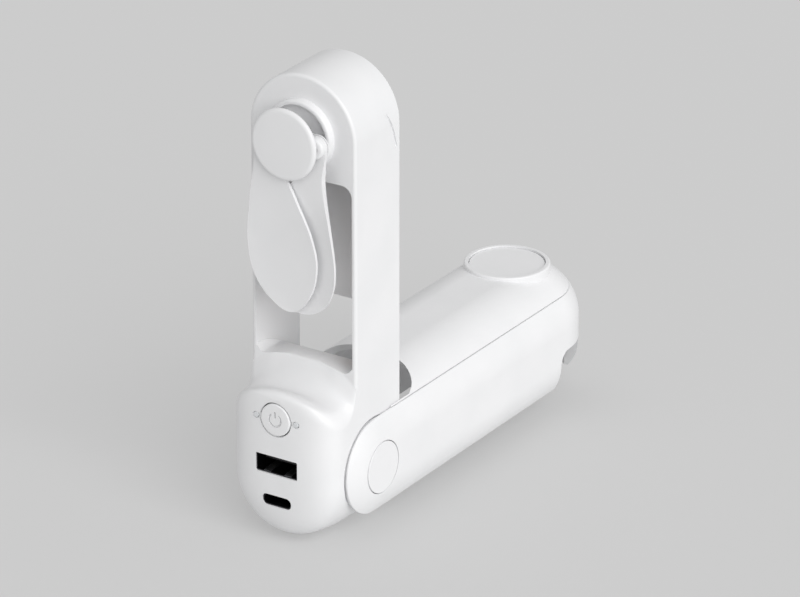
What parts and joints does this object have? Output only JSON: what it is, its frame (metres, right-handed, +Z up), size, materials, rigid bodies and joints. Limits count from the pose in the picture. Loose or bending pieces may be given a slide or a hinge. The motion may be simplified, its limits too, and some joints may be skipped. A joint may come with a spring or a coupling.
{
  "type": "power bank fan",
  "caption": "Pocket fan with a battery block: a windowed arm with folding blades swings up out of an open-bottomed handle; USB ports and a power button on the block.",
  "frame": {"origin": "middle of the bounding box's base, at the level of the ports block's flat foot", "axes": "+X along the hinge pin to the right, +Y back along the handle, +Z up along the raised arm"},
  "size_m": [0.0394, 0.134, 0.1282],
  "materials": {
    "white_abs": "moulded white ABS with a fine satin surface",
    "white_trim": "moulded white ABS, slightly smoother",
    "fan_plastic": "moulded white plastic with soft gloss",
    "plated_steel": "zinc-plated steel",
    "port_shell": "dark plated steel shell",
    "black_plastic": "black moulded plastic",
    "board_laminate": "glass-filled laminate with green mask",
    "cell_foil": "pouch foil",
    "grey_foam": "closed-cell foam",
    "frosted_lens": "frosted clear plastic",
    "flex_lead": "polyimide flexible lead"
  },
  "bodies": {
    "handle": {"side_frame": "white_abs", "ridge_cover": "white_abs", "bump_disc": "white_abs", "hinge_cap_left": "white_trim", "hinge_cap_right": "white_trim"},
    "arm": {"arm_frame": "white_abs", "block_back_cover": "white_abs", "head_back_cover": "white_abs", "cover_screw_1": "plated_steel", "cover_screw_2": "plated_steel", "cover_screw_3": "plated_steel", "cover_screw_4": "plated_steel", "hinge_screw_left": "plated_steel", "hinge_screw_right": "plated_steel", "hinge_washer_left": "plated_steel", "hinge_washer_right": "plated_steel", "hinge_nut_left": "plated_steel", "hinge_nut_right": "plated_steel", "circuit_board": "board_laminate", "charging_chip": "black_plastic", "power_inductor": "black_plastic", "usb_a_shell": "port_shell", "usb_a_tongue": "black_plastic", "usb_c_shell": "port_shell", "usb_c_tongue": "black_plastic", "button_switch": "black_plastic", "indicator_lens_left": "frosted_lens", "indicator_lens_right": "frosted_lens", "battery_cell_front": "cell_foil", "battery_cell_rear": "cell_foil", "battery_foam_pad": "grey_foam", "motor_can": "plated_steel", "motor_lead": "flex_lead"},
    "power_button": {"power_button": "white_trim"},
    "rotor": {"motor_shaft": "plated_steel", "rotor_hub": "fan_plastic", "hub_cap": "fan_plastic", "blade_pin_left": "plated_steel", "blade_pin_right": "plated_steel"},
    "front_blade": {"blade_front": "fan_plastic"},
    "rear_blade": {"blade_rear": "fan_plastic"}
  },
  "joints": [
    {"name": "arm_hinge", "type": "hinge", "parent": "handle", "child": "arm", "pos_m": [0, -0.0455, 0.0196], "axis": [1, 0, 0], "range_deg": [0, 270]},
    {"name": "button_press", "type": "slide", "parent": "arm", "child": "power_button", "axis": [0, 1, 0], "range_m": [0, 0.0005], "stiffness_N_per_m": 800},
    {"name": "rotor_spin", "type": "hinge", "parent": "arm", "child": "rotor", "pos_m": [0, -0.0455, 0.1119], "axis": [0, 1, 0], "continuous": true},
    {"name": "front_blade_fold", "type": "hinge", "parent": "rotor", "child": "front_blade", "pos_m": [-0.008, -0.0455, 0.1119], "axis": [0, 1, 0], "range_deg": [0, 203.8]},
    {"name": "rear_blade_fold", "type": "hinge", "parent": "rotor", "child": "rear_blade", "pos_m": [0.008, -0.0455, 0.1119], "axis": [0, -1, 0], "range_deg": [0, 199]}
  ]
}
